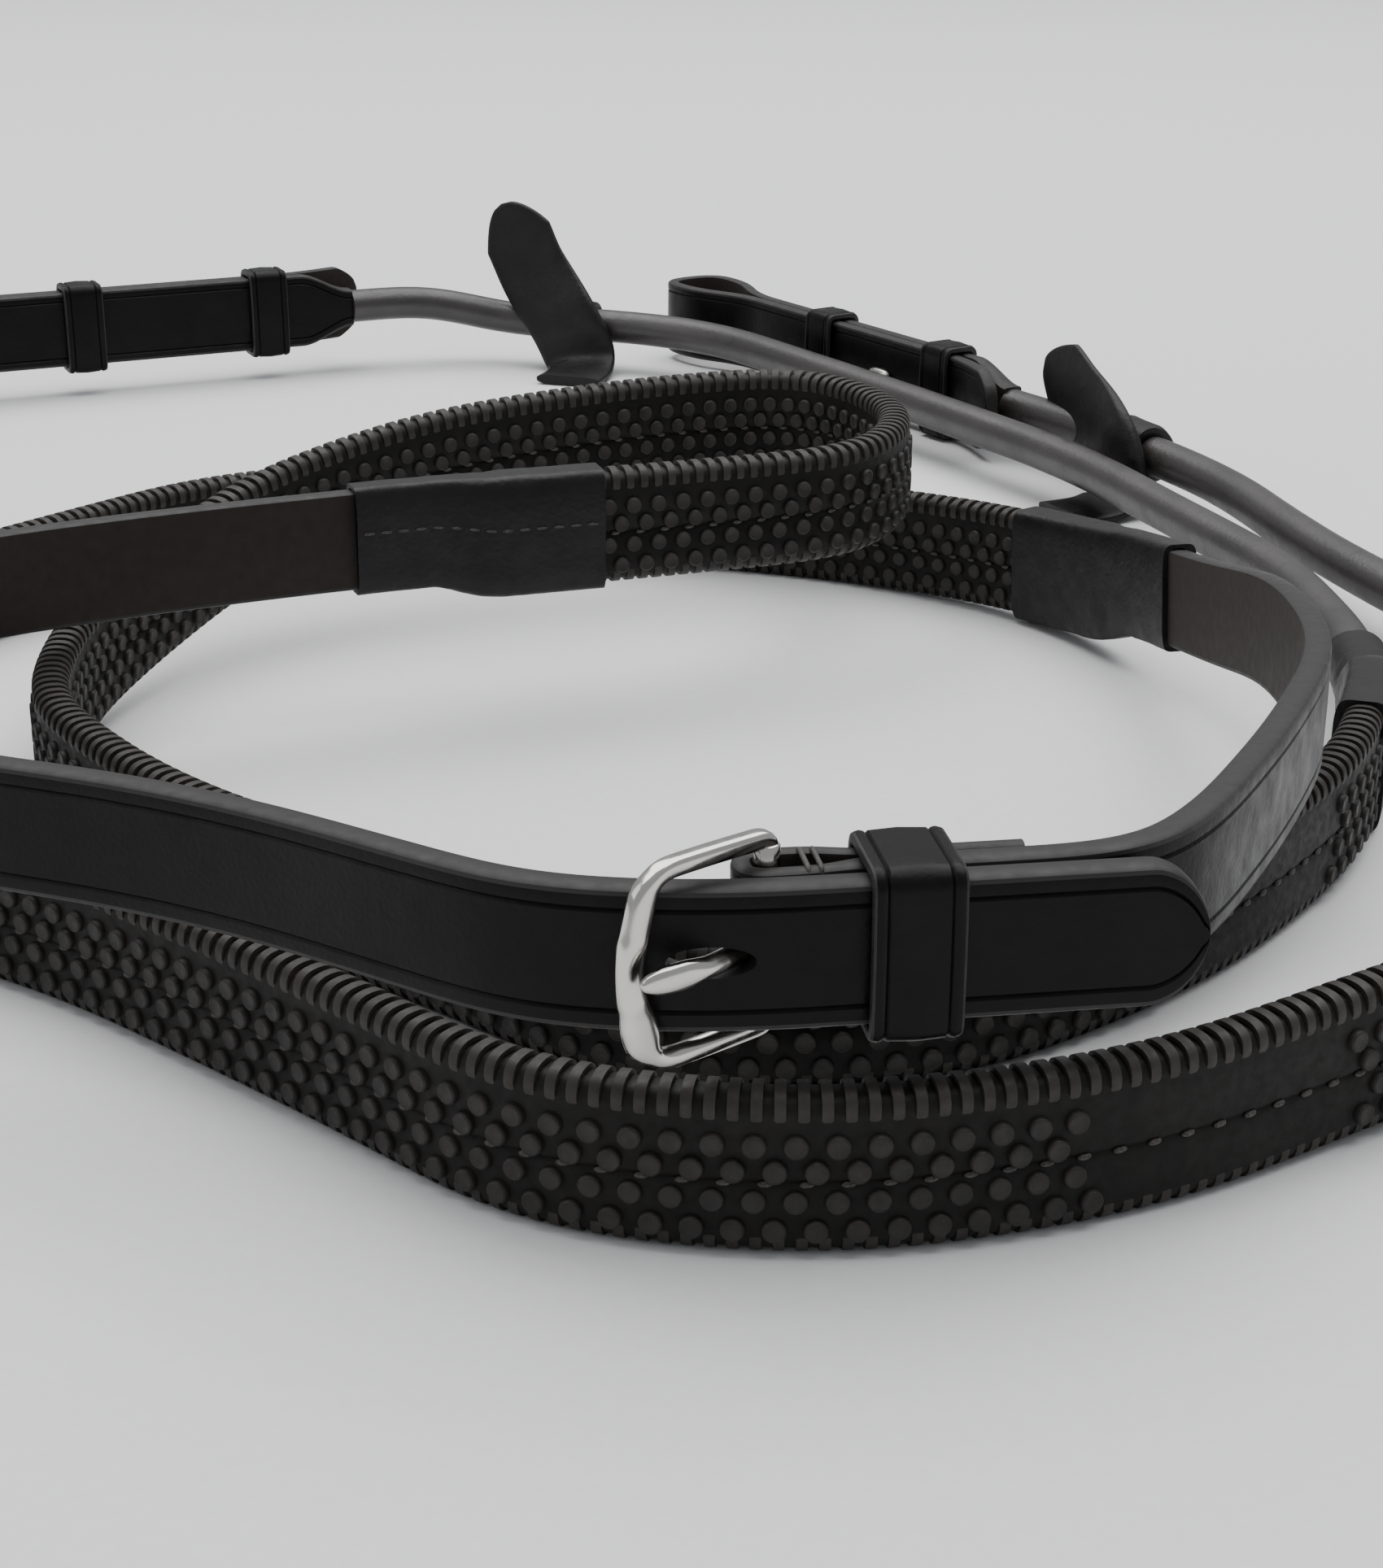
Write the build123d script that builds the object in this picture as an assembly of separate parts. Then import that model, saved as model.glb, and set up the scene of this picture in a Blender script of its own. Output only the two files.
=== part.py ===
from build123d import *

import math
import os

# Pair of rubber-grip reins of a snaffle bridle, coiled on a flat surface.
#
# Millimetres, +Z up, Z = 0 is the surface that the reins lie on.  The straps stand on edge, so a
# strap's width is upright.  X runs along the buckle, +Y goes from the buckle to the bit ends.
# Rein A carries the billet (the pointed strap end), rein B carries the buckle.

# ---- driving dimensions -----------------------------------------------------------------------
STRAP_W = 19.0            # width of the leather straps
STRAP_T = 3.8             # thickness of the hand straps
RUBBER_W = 20.0           # width of the rubber grip
RUBBER_T = 5.6            # thickness of the rubber grip without its dots
CORE_W = 15.0             # leather core inside the rubber
CORE_T = 2.4
SLEEVE_W = 21.4           # leather sleeve over each end of the rubber
SLEEVE_T = 8.0
ROLLED_D = 8.6            # rolled leather between rubber and bit strap
NECK_W = 14.0             # bit sleeve where it grips the rolled leather
NECK_T = 11.0
BIT_T = 3.0               # thickness of one layer of the bit strap
BIT_LOOP_R = 7.0          # inner radius of the fold that holds the bit ring
KEEPER_T = 1.8            # thickness of the leather of the keepers
BAR_R = 1.5               # radius of the buckle's bar
FIT = 0.35                # clearance of a leather keeper round what it slides on
GAP = 0.2                 # clearance between pieces that are sewn or pushed together
ROUNDING = 0.8            # rounded edges of the rubber and its sleeves

LIFT = 31.5               # height of a strap's centre line where it rests on the rubber below
BUCKLE_Z = 34.0           # height of the buckle's centre: the frame stands on the rubber
BIT_Z = 11.7              # rein B's bit strap stands on its keepers
RAISED_Z = 17.2           # the rolled leather holds rein A's bit strap clear of the surface
MAX_TANGENT = 26.0        # longest tangent that a corner of a route may use
CENTRE = (-24.7, 0.3)     # middle of the coil's footprint in the coordinates of the routes

# ---- routes: corners of each rein's centre line, from the buckle to the bit end -----------------
ROUTE_A = [
    (60, -229.5, BUCKLE_Z), (2, -238, BUCKLE_Z), (-18, -236, BUCKLE_Z), (-60, -204, 32.5),
    (-104, -186, LIFT), (-136, -146, LIFT), (-120, -96, LIFT), (-92, -80, LIFT),
    (-68, -69, LIFT), (-46, -60, LIFT), (-27, -54, LIFT), (-5, -47, LIFT),
    (31, -34, LIFT), (41, -1, LIFT), (24, 33, LIFT), (-14, 20, LIFT), (-52, 5, 28.5), (-82, -13, 21),
    (-96, -42, 15), (-104, -70, 11.5), (-102, -104, 10), (-75, -143, 10), (-39, -171, 10),
    (-8, -199, 10), (32, -198, 10), (70, -168, 10), (97, -130, 10.7),
    (108, -98, 10.7), (113, -76, 10.7), (115, -50, 10.7),
    (113, -12, 10.7), (84, 77, 11), (42.5, 149, 11.4), (2, 214, BIT_Z), (-50, 232.6, BIT_Z),
    (-72, 231, RAISED_Z), (-92, 222, RAISED_Z),
]
ROUTE_B = [
    (8.4, -232.2, BUCKLE_Z), (50, -226.1, BUCKLE_Z), (60, -211.5, 33.5), (74, -182, 32.5),
    (88.5, -145, LIFT), (90.5, -107, 29), (87.5, -68, 20),
    (81.5, -38, 15.5), (72, -14, 12), (57, 5, 10.7),
    (28, 24, 10), (-28, 42, 10), (-93, 35, 10), (-136, -20, 10), (-174, -74, 10), (-152, -138, 10),
    (-92, -165, 10), (-46, -206, 10), (-18, -233.5, 10), (16, -239.5, 10), (52, -229.5, 10),
    (96, -200, 10.7),
    (128, -179, 10.7), (150, -160, 10.7), (168, -134, 10.7),
    (170, -92, 10.7), (140, -52, 10.7), (122, 6, 11), (112, 58, BIT_Z), (88, 107, BIT_Z),
    (76, 126, BIT_Z),
]
# Runs, counted from the one that starts at corner 0, at whose middle a piece ends or sits: each
# sleeve's first and last run, the joint of strap and rubber inside it, and the rein stop, which
# sits this far past the middle of its run and leans this many degrees towards the bit.
STRETCH_A = {"hand_sleeve": (8, 10), "hand_joint": 9, "bit_sleeve": (26, 28), "bit_joint": 27,
             "stop": (33, 8.7), "stop_lean": 28}
STRETCH_B = {"hand_sleeve": (6, 8), "hand_joint": 7, "bit_sleeve": (21, 23), "bit_joint": 22,
             "stop": (28, 2.7), "stop_lean": 72}


def place(points):
    """Route corners moved so that the coil's footprint is centred on the origin."""
    return [Vector(x - CENTRE[0], y - CENTRE[1], z) for x, y, z in points]


def corner_radii(points):
    """Largest gentle arc at each inner corner of a route."""
    radii = []
    for before, corner, after in zip(points, points[1:], points[2:]):
        arriving = corner - before
        leaving = after - corner
        tangent = min(0.45 * arriving.length, 0.45 * leaving.length, MAX_TANGENT)
        radii.append(tangent / math.tan(math.radians(arriving.get_angle(leaving)) / 2))
    return radii


def run_middle(points, run, shift):
    """Point that lies `shift` past the middle of a straight run."""
    along = points[run + 1] - points[run]
    return points[run] + along / 2 + along.normalized() * shift


def stretch(points, first, last):
    """Corners and radii from the middle of run `first` to the middle of run `last`.

    first None starts at the route's own start, last None ends at its own end.
    """
    radii = corner_radii(points)
    low = 0 if first is None else first
    high = len(points) - 2 if last is None else last
    start = points[0] if first is None else run_middle(points, low, GAP / 2)
    end = points[-1] if last is None else run_middle(points, high, -GAP / 2)
    return [start] + points[low + 1:high + 1] + [end], radii[low:high]


def swept(section, corners, radii):
    """Solid of an upright section swept along a route, its sides kept upright by a guide."""
    if radii:
        path = FilletPolyline(*corners, radius=radii).wire()
        guide = FilletPolyline(*[c + Vector(0, 0, 10) for c in corners], radius=radii).wire()
    else:
        path = Wire([Line(*corners).edge()])
        guide = path.moved(Location((0, 0, 10)))
    heading = path % 0
    start = Plane(origin=path @ 0, x_dir=(0, 0, 1), z_dir=(heading.X, heading.Y, 0))
    return sweep(start * section, path=path, binormal=guide)


def ribbon(width, thickness, corners, radii):
    return swept(Rectangle(width, thickness), corners, radii)


def tube(outer_w, outer_t, inner_w, inner_t, corners, radii):
    """Flat hollow sleeve along a route."""
    outer = Rectangle(outer_w, outer_t)
    outer = fillet(outer.vertices(), ROUNDING)
    return swept(outer - Rectangle(inner_w, inner_t), corners, radii)


# ---- one rein's straps ---------------------------------------------------------------------------
def hand_strap(points, marks):
    return ribbon(STRAP_W, STRAP_T, *stretch(points, None, marks["hand_joint"]))


def hand_sleeve(points, marks):
    """Leather sleeve over the end of the rubber and the end of the hand strap."""
    return tube(SLEEVE_W, SLEEVE_T, RUBBER_W + 2 * GAP, RUBBER_T + 2 * GAP,
                *stretch(points, *marks["hand_sleeve"]))


def bit_sleeve(points, marks):
    """Leather sleeve over the rubber's other end, narrowed where it grips the rolled leather."""
    first, last = marks["bit_sleeve"]
    wide = tube(SLEEVE_W, SLEEVE_T, RUBBER_W + 2 * GAP, RUBBER_T + 2 * GAP,
                *stretch(points, first, marks["bit_joint"]))
    outer = fillet(Rectangle(NECK_W, NECK_T).vertices(), NECK_T * 0.42)
    corners, radii = stretch(points, marks["bit_joint"], last)
    corners[0] = run_middle(points, marks["bit_joint"], -GAP / 2)
    return wide + swept(outer - Circle((ROLLED_D + GAP) / 2), corners, radii)


def rubber_grip(points, marks):
    return tube(RUBBER_W, RUBBER_T, CORE_W + GAP, CORE_T + GAP,
                *stretch(points, marks["hand_joint"], marks["bit_joint"]))


def core_strap(points, marks):
    """Leather strap inside the rubber that takes the pull."""
    return ribbon(CORE_W, CORE_T, *stretch(points, marks["hand_joint"], marks["bit_joint"]))


def rolled_strap(points, marks):
    return swept(Circle(ROLLED_D / 2), *stretch(points, marks["bit_joint"], None))


# ---- bit end: a strap doubled back on itself, in its own frame ----------------------------------
# u runs from the end of the rolled leather to the bit fold, v is the strap's back, w is up.
BIT_LENGTH = 118.0        # from the start of the full width to the centre of the bit fold
FREE_END_U = -18.0        # the layer that comes back ends here, behind the rolled leather
FREE_END_LIFT = 6.0       # and stands this far off
NARROW = 14.0             # narrow neck between the rolled leather and the full width
NARROW_W = 11.0
LAYER_STEP = BIT_T + 0.4  # distance between the middles of the two layers
FOLD_W = STRAP_W          # width of the bit strap
NECK = 14.0               # length in which the two layers open into the fold
FIXED_KEEPER_U = 9.0
RUNNING_KEEPER_U = 58.0
KEEPER_W = 10.0
STUD_U = 32.0
STUD_R = 1.2
SLOT_L = 9.0              # slot of the back layer, through which the stud's head passes
SLOT_W = 3.4
TRAVEL = 8.0              # a running keeper slides this far each way


def bit_strap():
    """Front layer, round fold for the bit ring, and back layer with a free end that lifts off."""
    fold_r = BIT_LOOP_R + BIT_T / 2 - 0.2
    middle = LAYER_STEP / 2
    neck_u = BIT_LENGTH - fold_r - NECK
    corners = [
        (0, 0), (neck_u, 0), (BIT_LENGTH - fold_r * 0.8, middle - fold_r),
        (BIT_LENGTH + fold_r, middle - fold_r), (BIT_LENGTH + fold_r, middle + fold_r),
        (BIT_LENGTH - fold_r * 0.8, middle + fold_r), (neck_u, LAYER_STEP),
        (1, LAYER_STEP), (FREE_END_U, LAYER_STEP + FREE_END_LIFT),
    ]
    corners = [Vector(u, v, 0) for u, v in corners]
    radii = [12, 5, fold_r * 0.98, fold_r * 0.98, 5, 12, 20]
    strap = ribbon(FOLD_W, BIT_T, corners, radii)
    slot = Box(SLOT_L, BIT_T + 0.6, SLOT_W)
    neck = Pos(-NARROW / 2, 0, 0) * Box(NARROW, BIT_T, NARROW_W)
    ring_seat = Pos(BIT_LENGTH, middle, 0) * Cylinder(BIT_LOOP_R, FOLD_W + 2)
    return strap - Pos(STUD_U, LAYER_STEP, 0) * slot - ring_seat + neck


def hook_stud():
    """Rivet through the front layer, with a hooked head over the slot of the back layer."""
    back_face = LAYER_STEP + BIT_T / 2 + 0.3
    shank = extrude(Plane.XZ * Circle(STUD_R), back_face - BIT_T / 2)
    head = Box(SLOT_L - 0.5, 1.6, SLOT_W - 0.2)
    head = fillet(head.edges().filter_by(Axis.Y), 1.2)
    return Pos(STUD_U, back_face, 0) * (shank + Pos(0, 0.8, 0) * head)


def keeper_band(width, inner_v, inner_w, thickness=KEEPER_T):
    """Leather loop whose opening runs along u."""
    outer = Rectangle(inner_v + 2 * thickness, inner_w + 2 * thickness)
    outer = fillet(outer.vertices(), thickness)
    band = Plane.YZ * (outer - Rectangle(inner_v, inner_w))
    return extrude(band, width / 2, both=True)


def bit_keeper(u):
    inner = LAYER_STEP + BIT_T + 2 * FIT
    return Pos(u, LAYER_STEP / 2, 0) * keeper_band(KEEPER_W, inner, FOLD_W + 2 * FIT)


def bit_end_pieces():
    return {
        "_bit_strap": bit_strap(),
        "_hook_stud": hook_stud(),
        "_fixed_keeper": bit_keeper(FIXED_KEEPER_U),
        "_running_keeper": bit_keeper(RUNNING_KEEPER_U),
    }


# ---- rein stop: leather strip threaded on the rolled leather, u along the rolled leather ----------
STOP_W = 20.0
STOP_T = 2.0
STOP_UP = 31.0            # the tab's point stands this far above the rolled leather
COLLAR_L = 14.0           # length of the collar that slides on the rolled leather
FOOT_W = 17.0             # the strip's short end below the rolled leather
FOOT_REACH = 20.0         # and how far it lies out in front
FOOT_BOTTOM = -11.3       # it rests on the surface, this far below the rolled leather's middle


def rein_stop_tab(lean):
    """Pointed end of the strip, two layers thick, that leans towards the bit."""
    half = STOP_W / 2
    with BuildSketch() as face:
        with BuildLine():
            Polyline((-half, 0), (-half, STOP_UP - half), (0, STOP_UP), (half, STOP_UP - half),
                     (half, 0), (-half, 0))
        make_face()
        fillet(face.vertices().sort_by(Axis.Y)[-1], 6)
    tab = extrude(Plane.XZ * face.sketch, 1.5 * STOP_T, both=True)
    return Rot(0, lean, 0) * (Pos(0, 0, ROLLED_D / 2 + FIT + 0.6) * tab)


def rein_stop_foot():
    """Short end of the strip: down from the collar, then out along the surface."""
    top = FOOT_BOTTOM + STOP_T
    outline = Polyline((4, -3), (6.2, -3), (8.4, top), (FOOT_REACH, top),
                       (FOOT_REACH, FOOT_BOTTOM), (6.4, FOOT_BOTTOM), (4, -3))
    foot = extrude(Plane.YZ * make_face(outline.edges()), FOOT_W / 2, both=True)
    return Pos(-3, 0, 0) * foot


def rein_stop(lean):
    bore_r = ROLLED_D / 2 + FIT
    collar = Rot(0, 90, 0) * Cylinder(bore_r + STOP_T, COLLAR_L)
    below = Pos(0, 0, ROLLED_D / 2 + 0.2 - 20) * Box(100, 30, 40)
    strip = collar + (rein_stop_tab(lean) - below) + rein_stop_foot()
    return strip - Rot(0, 90, 0) * Cylinder(bore_r, 90)


# ---- buckle, in its own frame: the bar is the origin, -X goes to the outer bar --------------------
FRAME_REACH = 17.0        # bar to the middle of the outer bar
FRAME_HALF = 10.2         # half height of the window
FRAME_T = 2.8
SIDE_W = 3.0
FRAME_ANGLE = 31.0        # the frame slants forward, so the outer bar lies in front of the billet
TONGUE_OFFSET = 2.75      # tongue's middle in front of the frame's middle


def buckle_frame():
    """Frame with a pointed outer bar, and the round bar that the chape folds round."""
    top = FRAME_HALF + SIDE_W
    outer = Polyline((BAR_R, -top), (BAR_R, top), (-FRAME_REACH - 0.5, top),
                     (-FRAME_REACH - 2.6, 0), (-FRAME_REACH - 0.5, -top), (BAR_R, -top))
    inner = Polyline((-BAR_R, -FRAME_HALF), (-BAR_R, FRAME_HALF), (-FRAME_REACH + 1.6, FRAME_HALF),
                     (-FRAME_REACH + 1.0, 0), (-FRAME_REACH + 1.6, -FRAME_HALF),
                     (-BAR_R, -FRAME_HALF))
    plate = make_face(outer.edges()) - make_face(inner.edges())
    plate = extrude(Plane.XZ * plate, FRAME_T / 2, both=True)
    slab = Box(2 * BAR_R + 0.02, FRAME_T + 1, 2 * FRAME_HALF)
    rounded = fillet(plate.edges().filter_by(Axis.Y).group_by(Axis.X)[0], 1.5)
    return (rounded - slab) + Cylinder(BAR_R, 2 * FRAME_HALF + 1)


def buckle_tongue():
    """Tongue wrapped round the bar, that passes through the billet and rests on the outer bar."""
    eye = Cylinder(BAR_R + 0.15 + 1.5, 3.6) - Cylinder(BAR_R + 0.15, 4)
    route = [Vector(-2.2, -0.6, 0), Vector(-11.0, -TONGUE_OFFSET, 0),
             Vector(-FRAME_REACH - 2.4, -TONGUE_OFFSET - 0.1, 0)]
    pin = swept(Circle(1.2), route, [9])
    return (eye + pin) - Cylinder(BAR_R + 0.15, 4)


# ---- chape: end of rein B's strap, skived thin and folded round the bar ---------------------------
CHAPE_T = 2.2
CHAPE_R = BAR_R + 0.25 + CHAPE_T / 2
BAR_BACK = 1.6            # the bar lies this far behind the strap's middle
CHAPE_BACK = STRAP_T / 2 + CHAPE_T / 2 + 0.05
CHAPE_LENGTH = 29.0
SLOT_H = 4.4              # slot for the tongue's eye


def chape():
    front = BAR_BACK - CHAPE_R
    back = BAR_BACK + CHAPE_R
    corners = [(10, 0), (4, front), (-CHAPE_R, front), (-CHAPE_R, back), (4, back),
               (10, CHAPE_BACK), (CHAPE_LENGTH, CHAPE_BACK)]
    corners = [Vector(u, v, 0) for u, v in corners]
    fold = ribbon(STRAP_W, CHAPE_T, corners, [4, CHAPE_R * 0.98, CHAPE_R * 0.98, 4, 4])
    return fold - Pos(-1, BAR_BACK, 0) * Box(11, 9, SLOT_H)


def chape_stitches():
    """A row of threads along each edge of the turned end."""
    threads = []
    for row in (-1, 1):
        for step in range(6):
            at = Pos(12 + 2.6 * step, CHAPE_BACK + CHAPE_T / 2 + 0.12, row * (STRAP_W / 2 - 2.4))
            threads.append(at * Box(1.8, 0.2, 0.5))
    return Compound(children=[t.solid() for t in threads])


CENTRE_KEEPER_U = 15.5
CENTRE_KEEPER_W = 10.4
BILLET_FRONT = 5.0        # billet's middle is this far in front of the chape's strap
POINT_L = 9.0             # length and tip radius of the billet's point
POINT_R = 5.0
HOLE_U = -7.1             # billet hole: its middle, length and height
HOLE_L = 11.6
HOLE_H = 3.8


def centre_keeper():
    inner_v = BILLET_FRONT + STRAP_T / 2 + CHAPE_BACK + CHAPE_T / 2 + 2 * FIT
    middle = (CHAPE_BACK + CHAPE_T / 2 - BILLET_FRONT - STRAP_T / 2) / 2
    return Pos(CENTRE_KEEPER_U, middle, 0) * keeper_band(CENTRE_KEEPER_W, inner_v, STRAP_W + 2 * FIT)


# ---- assembly ------------------------------------------------------------------------------------
def frame_at(origin, towards):
    """Upright local frame: local X goes to `towards`, local Z is up."""
    flat = Vector(towards.X - origin.X, towards.Y - origin.Y, 0)
    return Location(Plane(origin=origin, x_dir=flat, z_dir=(0, 0, 1)))


def billet_cuts(strap, points, buckle):
    """Pointed end and tongue hole of rein A's strap."""
    half = STRAP_W / 2
    with BuildSketch() as waste:
        with BuildLine():
            Line((0, 0), (POINT_L, half))
            Line((POINT_L, half), (-1, half + 1))
            Line((-1, half + 1), (-1, -half - 1))
            Line((-1, -half - 1), (POINT_L, -half))
            Line((POINT_L, -half), (0, 0))
        make_face()
        fillet([v for v in waste.vertices() if abs(v.Y) < 1], POINT_R)
    tip = frame_at(points[0], points[1])
    hole = buckle * Pos(HOLE_U, -BILLET_FRONT, 0) * Box(HOLE_L, 9, HOLE_H)
    return strap - tip * extrude(Plane.XZ * waste.sketch, STRAP_T, both=True) - hole


def main():
    os.makedirs("parts", exist_ok=True)
    route_a = place(ROUTE_A)
    route_b = place(ROUTE_B)
    buckle = frame_at(route_b[0], route_b[1])
    bar = buckle * Pos(0, BAR_BACK, 0)
    slanted = bar * Rot(0, 0, FRAME_ANGLE)

    nodes = {
        "a_hand_strap": billet_cuts(hand_strap(route_a, STRETCH_A), route_a, buckle),
        "b_hand_strap": hand_strap_b(route_b, buckle),
        "buckle_frame": slanted * buckle_frame(),
        "buckle_tongue": slanted * buckle_tongue(),
        "chape_stitches": buckle * chape_stitches(),
        "centre_keeper": buckle * centre_keeper(),
    }
    for side, points, marks in (("a", route_a, STRETCH_A), ("b", route_b, STRETCH_B)):
        outward = (points[-1] - points[-2]).normalized()
        end = frame_at(points[-1] + outward * NARROW, points[-1] + outward * 2 * NARROW)
        nodes[side + "_hand_sleeve"] = hand_sleeve(points, marks)
        nodes[side + "_bit_sleeve"] = bit_sleeve(points, marks)
        nodes[side + "_rubber_grip"] = rubber_grip(points, marks)
        nodes[side + "_core_strap"] = core_strap(points, marks)
        nodes[side + "_rolled_strap"] = rolled_strap(points, marks)
        for name, shape in bit_end_pieces().items():
            nodes[side + name] = end * (mirror(shape, about=Plane.XZ) if side == "a" else shape)
        run, shift = marks["stop"]
        middle = run_middle(points, run, shift)
        stop = rein_stop(marks["stop_lean"])
        nodes[side + "_rein_stop"] = frame_at(middle, points[run + 1]) * stop
    for name, shape in nodes.items():
        export_step(shape, f"parts/{name}.step")


def hand_strap_b(points, buckle):
    """Hand strap that starts beside the bar and carries the folded chape."""
    start = points[0] + (points[1] - points[0]).normalized() * 9
    corners, radii = stretch(points, None, STRETCH_B["hand_joint"])
    body = ribbon(STRAP_W, STRAP_T, [start] + corners[1:], radii)
    return body + buckle * chape()


main()
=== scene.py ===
import math

import bpy
import numpy as np
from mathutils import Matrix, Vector


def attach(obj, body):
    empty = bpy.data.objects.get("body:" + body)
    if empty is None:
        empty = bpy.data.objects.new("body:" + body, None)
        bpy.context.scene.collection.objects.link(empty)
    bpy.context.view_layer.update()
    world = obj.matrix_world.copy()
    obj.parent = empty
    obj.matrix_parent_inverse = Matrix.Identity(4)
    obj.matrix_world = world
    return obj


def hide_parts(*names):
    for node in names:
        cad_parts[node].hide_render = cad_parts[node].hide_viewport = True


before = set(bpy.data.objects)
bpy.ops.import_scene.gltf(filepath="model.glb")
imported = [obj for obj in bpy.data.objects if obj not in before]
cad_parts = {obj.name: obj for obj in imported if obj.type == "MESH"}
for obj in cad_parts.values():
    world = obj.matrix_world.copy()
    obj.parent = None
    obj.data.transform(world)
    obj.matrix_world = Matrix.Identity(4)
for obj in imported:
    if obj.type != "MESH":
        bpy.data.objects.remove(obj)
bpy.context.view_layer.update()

# Sizes are millimetres up to the point where a mesh is made; MM turns them into metres.
MM = 0.001
UP = np.array([0.0, 0.0, 1.0])

# ---- driving dimensions: those of the CAD model, and where a line says so, as it looks ----------
STRAP_W = 19.0
STRAP_T = 3.8
HAND_W = 16.8             # the hand strap as it looks: narrower than the CAD solid,
HAND_RISE = 1.4           # with its middle this far above the solid's
HAND_CREASE = 2.5         # from the strap's edge in to its crease
BIT_CREASE = 2.2
RUBBER_W = 20.0
RUBBER_T = 5.6
ROLLED_R = 4.3
SLEEVE_W = 21.4
SLEEVE_T = 8.0
HAND_SLEEVE_W = HAND_W + 2.0    # on the strap, and what the rubber under the other half adds
HAND_SLEEVE_T = 5.9
OVER_RUBBER_W = 2.6
OVER_RUBBER_T = 2.0
SLEEVE_END_W = 11.4       # of the bit sleeve, where it grips the rolled leather
SLEEVE_END_T = 10.6
SLEEVE_POWER = 5.5        # boxiness of a sleeve's section on a flat strap
SLEEVE_WALL = 1.0
SLEEVE_STEP = 0.7
BIT_T = 3.0
LAYER_STEP = 3.4
BIT_LENGTH = 118.0
BIT_FOLD_R = 8.3
NARROW = 14.0             # run over which the bit strap widens from the rolled leather
NECK_W = 9.5
NECK_T = 5.2
STUD_U = 32.0             # places along the bit strap, from the start of its full width
FIXED_KEEPER_U = 9.0
RUNNING_KEEPER_U = 58.0
KEEPER_W = 10.0
CENTRE_KEEPER_U = 15.0    # as it looks, from the buckle's bar
CENTRE_KEEPER_W = 10.4
KEEPER_T = 1.8
FIT = 0.35
CHAPE_T = 2.2
CHAPE_BACK = 3.05
CHAPE_LENGTH = 29.0
BAR_R = 1.5
BAR_BACK = 1.6
BILLET_FRONT = 5.0
FRAME_REACH = 17.0
FRAME_HALF = 9.6
FRAME_SLANT = math.radians(31)
LIFT = 31.5
BUCKLE_Z = 34.0
BIT_Z = 11.7
RAISED_Z = 17.2
CENTRE = np.array([-24.7, 0.3, 0.0])
STEP = 1.2                # distance between the stations of a swept strap
LONGEST_TANGENT = 26.0
CAMERA_BACK = 500.0       # camera: distance in front of the route's zero, height, tilt and lens
CAMERA_UP = 155.8
CAMERA_TILT = 20.96
CAMERA_LENS = 61.62

ROUTE_A = [
    (60, -229.5, BUCKLE_Z), (2, -238, BUCKLE_Z), (-18, -236, BUCKLE_Z), (-60, -204, 32.5),
    (-104, -186, LIFT), (-136, -146, LIFT), (-120, -96, LIFT), (-92, -80, LIFT),
    (-68, -69, LIFT), (-46, -60, LIFT), (-27, -54, LIFT), (-5, -47, LIFT),
    (31, -34, LIFT), (41, -1, LIFT), (24, 33, LIFT), (-14, 20, LIFT), (-52, 5, 28.5),
    (-82, -13, 21), (-96, -42, 15), (-104, -70, 11.5), (-102, -104, 10), (-75, -143, 10),
    (-39, -171, 10), (-8, -199, 10), (32, -198, 10), (70, -168, 10), (97, -130, 10.7),
    (108, -98, 10.7), (113, -76, 10.7), (115, -50, 10.7),
    (113, -12, 10.7), (84, 77, 11), (42.5, 149, 11.4), (2, 214, BIT_Z), (-50, 232.6, BIT_Z),
    (-72, 231, RAISED_Z), (-92, 222, RAISED_Z),
]
ROUTE_B = [
    (8.4, -232.2, BUCKLE_Z), (50, -226.1, BUCKLE_Z), (60, -211.5, 33.5), (74, -182, 32.5),
    (88.5, -145, LIFT), (90.5, -107, 29), (87.5, -68, 20),
    (81.5, -38, 15.5), (72, -14, 12), (57, 5, 10.7),
    (28, 24, 10), (-28, 42, 10), (-93, 35, 10), (-136, -20, 10), (-174, -74, 10),
    (-152, -138, 10), (-92, -165, 10), (-46, -206, 10), (-18, -233.5, 10), (16, -239.5, 10),
    (52, -229.5, 10), (96, -200, 10.7), (128, -179, 10.7), (150, -160, 10.7), (168, -134, 10.7),
    (170, -92, 10.7), (140, -52, 10.7), (122, 6, 11), (112, 58, BIT_Z), (88, 107, BIT_Z),
    (76, 126, BIT_Z),
]
# Per rein: runs of the route at whose middle the sleeves and the rubber begin and end, the side
# on which the bit strap folds back, the stop (its run of the route, millimetres past that run's
# middle, lean in degrees), the stretch of one face of the rubber that has no dots, and the seeds
# of the creases in the hand sleeve and in the bit sleeve.
REINS = {
    "a": {"route": ROUTE_A, "hand_sleeve": (8, 10), "hand_joint": 9, "bit_sleeve": (26, 28),
          "bit_joint": 27, "fold_side": -1, "stop": (33, 8.7, 28.0), "seeds": (3, 5),
          "plain": {"side": -1, "ends": [(60, -176, 10), (88, -142, 10)]}},
    "b": {"route": ROUTE_B, "hand_sleeve": (6, 8), "hand_joint": 7, "bit_sleeve": (21, 23),
          "bit_joint": 22, "fold_side": 1, "stop": (28, 2.7, 72.0), "seeds": (11, 17),
          "plain": {"side": -1, "ends": [(45, -231, 10), (75, -214, 10)]}},
}

# ---- paths --------------------------------------------------------------------------------------


def unit(vectors):
    return vectors / np.linalg.norm(vectors, axis=-1, keepdims=True)


def placed(points):
    return np.array(points, float) - CENTRE


def arc_length(path):
    return np.concatenate([[0], np.cumsum(np.linalg.norm(np.diff(path, axis=0), axis=1))])


def full_turn(count):
    """`count` angles evenly round a circle."""
    return np.arange(count) * 2 * math.pi / count


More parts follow.
